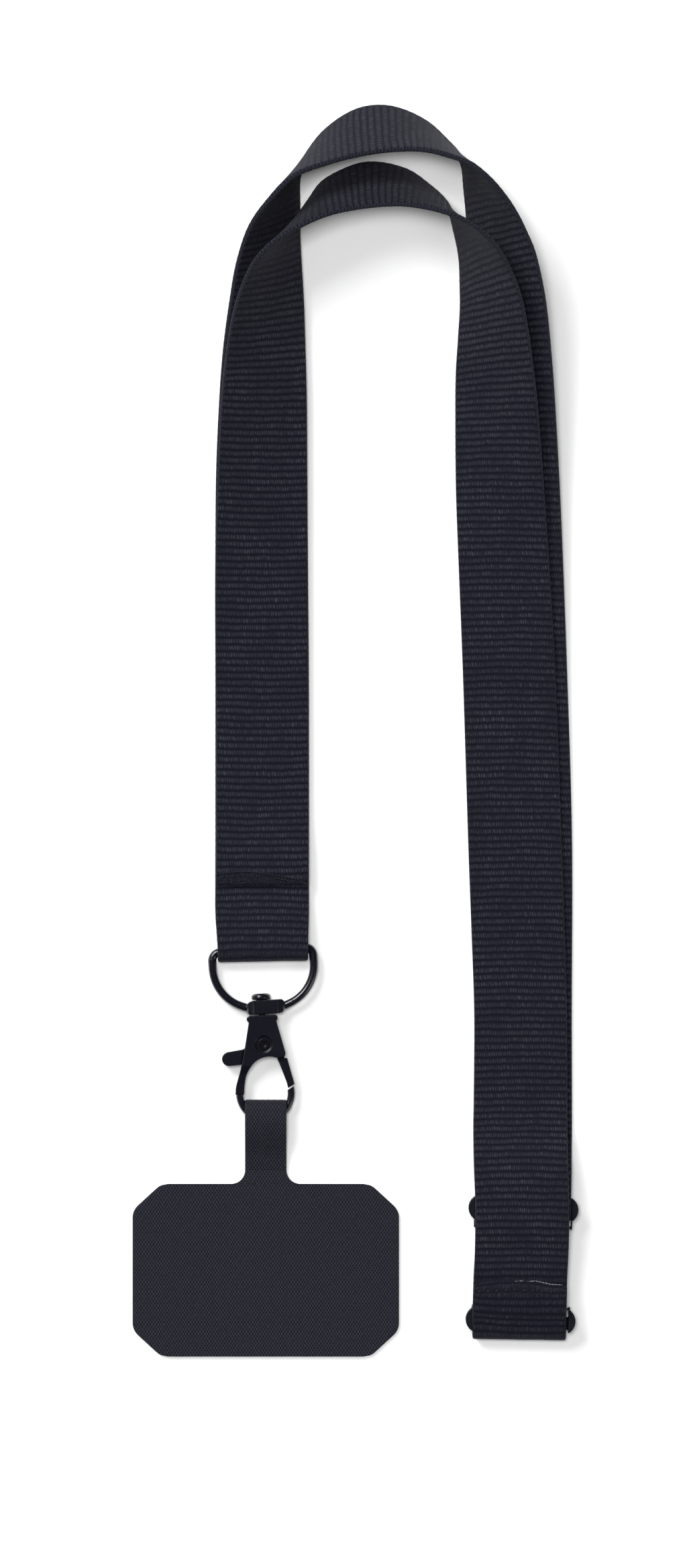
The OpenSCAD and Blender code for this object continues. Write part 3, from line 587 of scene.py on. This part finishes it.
def webbing_material(name, dark, light):
    """Ribs across the strap, each a row of small upright threads, with looped edges painted paler
    as a highlight.
    """
    g = Shader(name)
    x, y = g.uv()
    # Threads: which rib they are in, how they sway and lean, and the oval that each one shows
    row = g.math("FLOOR", y)
    sway = g.times(g.less(g.noise(g.vector(x, g.times(row, 3.7)), 0.55), 0.5), 2.2)
    y = g.add(y, g.times(g.less(g.noise(g.vector(x, y), 0.5, 3.0), 0.5), 0.3))
    x = g.add(x, g.add(g.times(g.math("MODULO", row, 2.0), 0.5), sway))
    chance = g.random(g.math("FLOOR", x), row)
    lean = g.times(g.less(g.math("FRACT", y), 0.5), 0.25)
    fx = g.math("DIVIDE", g.less(g.math("FRACT", x), g.add(0.5, lean)), 0.42)
    fy = g.add(g.less(g.math("FRACT", y), 0.55), g.times(g.less(chance, 0.5), 0.12))
    dash = g.math("DIVIDE", fy, 0.36)
    dash = g.steps(g.add(g.times(fx, fx), g.times(dash, dash)), 1.2, 0.1)
    # Ribs between their gaps, loose fibre, and patches where the threads are rubbed paler
    rib = g.steps(g.math("ABSOLUTE", g.less(g.math("FRACT", y), 0.5)), 0.48, 0.2)
    fibre = g.noise(g.vector(g.times(x, 2.0), g.times(y, 2.0)), 1.7, 4.0)
    rubbed = g.steps(g.noise(g.vector(g.times(x, 0.5), y), 0.16, 3.0), 0.3, 0.7)
    tone = g.times(dash, g.add(0.20, g.times(chance, 0.38)))
    tone = g.times(tone, g.add(0.6, g.times(rubbed, 0.7)))
    tone = g.add(tone, g.add(0.05, g.times(rib, 0.14)))
    tone = g.times(tone, g.add(0.45, g.times(fibre, 1.1)))
    # Looped edges painted paler as a highlight, then the smoother skin where the webbing is
    # pressed, then the painted shade and the darker flap
    loops = g.steps(g.math("ABSOLUTE", g.less(g.math("FRACT", g.times(y, 2.0)), 0.5)), 0.45, 0.1)
    edge = g.steps(g.mark("edge"), 0.965, 0.99)
    painted_highlight_edge_tone = g.add(0.1, g.times(loops, 0.4))
    tone = g.add(g.times(tone, g.less(1.0, edge)), g.times(edge, painted_highlight_edge_tone))
    pressed = g.mark("pressed")
    rough = g.steps(g.noise(g.vector(g.times(x, 1.2), g.times(y, 3.0)), 0.9, 3.0), 0.35, 0.75)
    flat_tone = g.add(0.06, g.times(rough, 0.26))
    tone = g.add(g.times(tone, g.less(1.0, pressed)), g.times(flat_tone, pressed))
    # The colour is darkened here: painted shade at the dip under the flap, and a darker flap
    tone = g.math("MULTIPLY", tone, g.less(1.0, g.times(g.mark("painted_shade_and_dark_flap"), 0.8)), clamp=True)
    g.set(Base_Color=g.mix(tone, dark, light), Roughness=g.less(0.85, g.times(pressed, 0.3)))
    g.set(Sheen_Weight=0.06, Sheen_Roughness=0.5, Sheen_Tint=(0.8, 0.82, 0.95))
    g.set(Specular_IOR_Level=0.1)
    height = g.add(dash, g.times(fibre, 0.3))
    g.bump(g.times(height, g.less(1.0, g.times(pressed, 0.6))), 0.10)
    return g.material


def weave_material(name, dark, light):
    """Coated plain weave: a paler net with a dark dip at every other crossing."""
    g = Shader(name)
    x, y = g.uv()
    # Cells of half a repeat, dark and lit by turns, each with an oval spot in it
    x = g.math("DIVIDE", x, WEAVE[0] / 2)
    y = g.math("DIVIDE", y, WEAVE[1] / 2)
    turn = g.math("ABSOLUTE", g.math("MODULO", g.add(g.math("FLOOR", x), g.math("FLOOR", y)), 2.0))
    fx = g.math("DIVIDE", g.less(g.math("FRACT", x), 0.5), 0.56)
    fy = g.math("DIVIDE", g.less(g.math("FRACT", y), 0.5), 0.38)
    spot = g.steps(g.add(g.times(fx, fx), g.times(fy, fy)), 1.0, 0.1)
    dip = g.times(spot, g.math("LESS_THAN", turn, 0.5))
    lit = g.times(spot, g.math("GREATER_THAN", turn, 0.5))
    chance = g.random(g.math("FLOOR", x), g.math("FLOOR", y))
    grain = g.noise(g.vector(x, y), 1.9, 3.0)
    lit_tone = g.times(lit, g.add(0.1, g.times(chance, 0.6)))
    net_tone = 0.46
    tone = g.add(g.less(net_tone, g.times(dip, net_tone)), lit_tone)
    tone = g.math("MULTIPLY", tone, g.add(0.65, g.times(grain, 0.7)), clamp=True)
    g.set(Base_Color=g.mix(tone, dark, light), Roughness=0.6)
    g.set(Sheen_Weight=0.05, Sheen_Roughness=0.5, Specular_IOR_Level=0.15)
    g.bump(g.add(tone, g.times(grain, 0.25)), 0.08)
    return g.material


def cast_material(name, colour, rough, metallic, coat, specular, grain, wear):
    """Cast and coated metal or moulded plastic, with a fine uneven skin and rubbed edges."""
    g = Shader(name)
    place = g.node("TexCoord", "Object")
    skin = g.noise(place, 900.0, 3.0)
    patches = g.noise(place, 160.0, 2.0)
    corner = g.node("NewGeometry", "Pointiness")
    rubbed = g.times(g.steps(corner, 0.53, 0.60), g.steps(patches, 0.35, 0.65))
    paler = tuple(min(1.0, c * 3 + 0.02) for c in colour)
    g.set(Base_Color=g.mix(g.times(rubbed, wear), colour, paler))
    g.set(Roughness=g.add(rough, g.times(g.less(patches, 0.5), 0.14)))
    g.set(Metallic=metallic, Coat_Weight=coat, Coat_Roughness=0.15, Specular_IOR_Level=specular)
    g.bump(skin, grain)
    return g.material


def thread_material(name, colour, rough):
    """Twisted sewing thread: slanting strands along each stitch."""
    g = Shader(name)
    x, y = g.uv()
    tone = g.steps(g.math("SINE", g.add(g.times(x, 9.0), g.times(y, 4 * math.pi))), -1.0, 1.0)
    paler = tuple(c * 2.6 for c in colour)
    g.set(Base_Color=g.mix(tone, colour, paler), Roughness=rough, Specular_IOR_Level=0.3)
    g.bump(tone, 0.06)
    return g.material


# ---------------------------------------------------------------- pieces
def take(piece, body, slot, material, *nodes):
    """Gives a piece its body and material, and lets it stand for CAD nodes; slot is not used."""
    piece.data.materials.clear()
    piece.data.materials.append(material)
    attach(piece, body)
    if nodes:
        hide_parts(*nodes)


def cast_copy(name, node, voxel, rounds):
    """A rounded copy of a hard CAD node, as a mould or a die would leave it."""
    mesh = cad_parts[node].data.copy()
    mesh.materials.clear()
    piece = bpy.data.objects.new(name, mesh)
    piece.matrix_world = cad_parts[node].matrix_world.copy()
    bpy.context.scene.collection.objects.link(piece)
    remesh = piece.modifiers.new("even", "REMESH")
    remesh.mode = "VOXEL"
    remesh.voxel_size = voxel * MM
    remesh.use_smooth_shade = True
    smooth = piece.modifiers.new("round", "SMOOTH")
    smooth.factor = 0.5
    smooth.iterations = rounds
    bpy.context.view_layer.update()
    shown = piece.evaluated_get(bpy.context.evaluated_depsgraph_get())
    piece.data = bpy.data.meshes.new_from_object(shown)
    piece.modifiers.clear()
    return piece


web = webbing_material("webbing", (0.0038, 0.0038, 0.0090), (0.038, 0.038, 0.050))
black_metal = cast_material("black_metal", (0.0050, 0.0050, 0.0098), rough=0.3, metallic=0.0,
                            coat=0.5, specular=0.6, grain=0.01, wear=0.35)
plastic = cast_material("buckle_plastic", (0.006, 0.006, 0.0105), rough=0.4, metallic=0.0,
                        coat=0.0, specular=0.35, grain=0.03, wear=0.1)
rivet_metal = cast_material("rivet_metal", (0.008, 0.008, 0.012), rough=0.25, metallic=0.4,
                            coat=0.4, specular=0.5, grain=0.01, wear=0.3)
spring_steel = cast_material("spring_steel", (0.35, 0.35, 0.37), rough=0.25, metallic=1.0,
                             coat=0.0, specular=0.5, grain=0.005, wear=0.2)
film = cast_material("stiffener_film", (0.04, 0.04, 0.045), rough=0.4, metallic=0.0,
                     coat=0.0, specular=0.4, grain=0.01, wear=0.0)
coated_cloth = weave_material("patch_cloth", (0.0008, 0.0008, 0.0044), (0.033, 0.033, 0.045))
lining_cloth = weave_material("patch_lining", (0.0045, 0.0045, 0.0080), (0.022, 0.022, 0.030))
thread = thread_material("thread", (0.007, 0.007, 0.011), rough=0.5)
# Pale colour of the melted bead and drops: a painted highlight for the glints on the flap's cut
# edge
melted_highlight = thread_material("melted_edge_painted_highlight", (0.10, 0.10, 0.11), rough=0.15)

front = webbing("front_webbing", FRONT_ROUTE, 11, front_shift, front_press, front_painted_shade_and_dark_flap)
rear = webbing("rear_webbing", REAR_ROUTE, 23, none, rear_press, none)
take(front, "straps", "webbing", web, "front_strap")
take(rear, "straps", "webbing", web, "rear_strap")

# The front cloth's mesh is fine enough for its weave, and the hidden back cloth's is coarser
FINE, COARSE = 0.25, 0.6
pad = (pad_rows(FACE_Z, FINE, root=True), 258, WEAVE_DEPTH)
tab = (tab_rows(FINE), 41, WEAVE_DEPTH)
face = cloth("patch_front_cloth", [pad, tab])
back = cloth("patch_back_cloth", [(pad_rows(CLOTH_T / 2, COARSE, root=False), 60, 0)])
take(face, "patch", "patch_cloth", coated_cloth, "patch_face")
take(back, "patch", "patch_lining", lining_cloth, "patch_back")

flap_line = [(x, y, FLAP_TOP) for x, y in
             ((25.7, -119.2), (30, -118.9), (35, -118.8), (40, -119.1), (44.3, -119.4))]
rear_line = [(26.6, -87.8, 2.58), (45.2, -87.8, 2.58)]
ring_seam = tubes("ring_seam_threads", ring_seam_paths())
flap_seam = tubes("flap_seam_threads", stitches(flap_line, pitch=1.9, length=1.4,
                                                thread_r=0.17, dip=0.25, seed=5))
rear_seam = tubes("rear_seam_threads", stitches(rear_line, pitch=2.3, length=1.7,
                                                thread_r=0.18, dip=0.25, seed=6))
take(ring_seam, "straps", "thread", thread, "ring_seam_stitching")
take(flap_seam, "straps", "thread", thread, "front_seam_stitching")
take(rear_seam, "straps", "thread", thread, "rear_seam_stitching")

# Bead and glint drops on the flap's cut edge, painted pale as a highlight
take(tubes("flap_melted_edge", melted_bead_and_glint_paths()), "straps", "webbing", melted_highlight)

# Hard pieces: name, CAD node, body, slot, material, remeshing step in mm, rounds of smoothing
HARD = [("ring_cast", "d_ring", "ring", "black_metal", black_metal, 0.09, 6),
        ("clasp_cast", "clasp_body", "clasp", "black_metal", black_metal, 0.09, 6),
        ("gate_cast", "gate_lever", "gate", "black_metal", black_metal, 0.08, 5),
        ("post_turned", "swivel_post", "clasp", "black_metal", black_metal, 0.07, 2),
        ("rivet_set", "gate_rivet", "clasp", "rivet_metal", rivet_metal, 0.05, 1),
        ("spring_coil", "gate_spring", "clasp", "spring_steel", spring_steel, 0.05, 1),
        ("buckle_lower", "buckle_socket", "straps", "buckle_plastic", plastic, 0.16, 2),
        ("buckle_upper", "buckle_plug", "plug", "buckle_plastic", plastic, 0.16, 2),
        ("patch_core", "patch_stiffener", "patch", "stiffener_film", film, 0.12, 1)]
for name, node, body, slot, material, voxel, rounds in HARD:
    take(cast_copy(name, node, voxel, rounds), body, slot, material, node)

# ---------------------------------------------------------------- table, light and camera
# Height of the view on the table and its middle, and the camera's height, in metres
FRAME_H = 0.3337
MIDDLE = (-0.00257, -0.01129)
HEIGHT = 4.0
# Half width of the table, in millimetres
TABLE = 900

corners = [(-TABLE, -TABLE, 0), (TABLE, -TABLE, 0), (TABLE, TABLE, 0), (-TABLE, TABLE, 0)]
table = make_object("table", corners, [(0, 1, 2, 3)])
paper = Shader("paper")
paper.set(Base_Color=(0.9, 0.9, 0.905), Roughness=0.9, Specular_IOR_Level=0.1)
table.data.materials.append(paper.material)


def softbox(name, place, size, power, glossy):
    """Square area light that faces the object: place and size in metres, power in watts."""
    lamp = bpy.data.lights.new(name, "AREA")
    lamp.size = size
    lamp.energy = power
    holder = bpy.data.objects.new(name, lamp)
    bpy.context.scene.collection.objects.link(holder)
    holder.location = place
    holder.rotation_euler = (-Vector(place)).to_track_quat("-Z", "Y").to_euler()
    holder.visible_glossy = glossy
    holder.visible_camera = False


softbox("overhead", (-0.25, 0.35, 5.0), size=1.2, power=155, glossy=False)
softbox("key", (-1.25, 1.4, 2.0), size=1.2, power=58, glossy=True)
softbox("rim", (1.5, -0.9, 1.3), size=0.7, power=5, glossy=True)
world = bpy.data.worlds.new("studio")
world.use_nodes = True
sky = world.node_tree.nodes["Background"]
sky.inputs["Color"].default_value = (1, 1, 1, 1)
sky.inputs["Strength"].default_value = 0.2
world.cycles_visibility.glossy = False
bpy.context.scene.world = world
bpy.context.scene.view_settings.view_transform = "Standard"

camera = bpy.data.cameras.new("camera")
camera.lens = camera.sensor_width * HEIGHT / FRAME_H
camera.clip_end = 20
eye = bpy.data.objects.new("camera", camera)
eye.location = (*MIDDLE, HEIGHT)
bpy.context.scene.collection.objects.link(eye)
bpy.context.scene.camera = eye
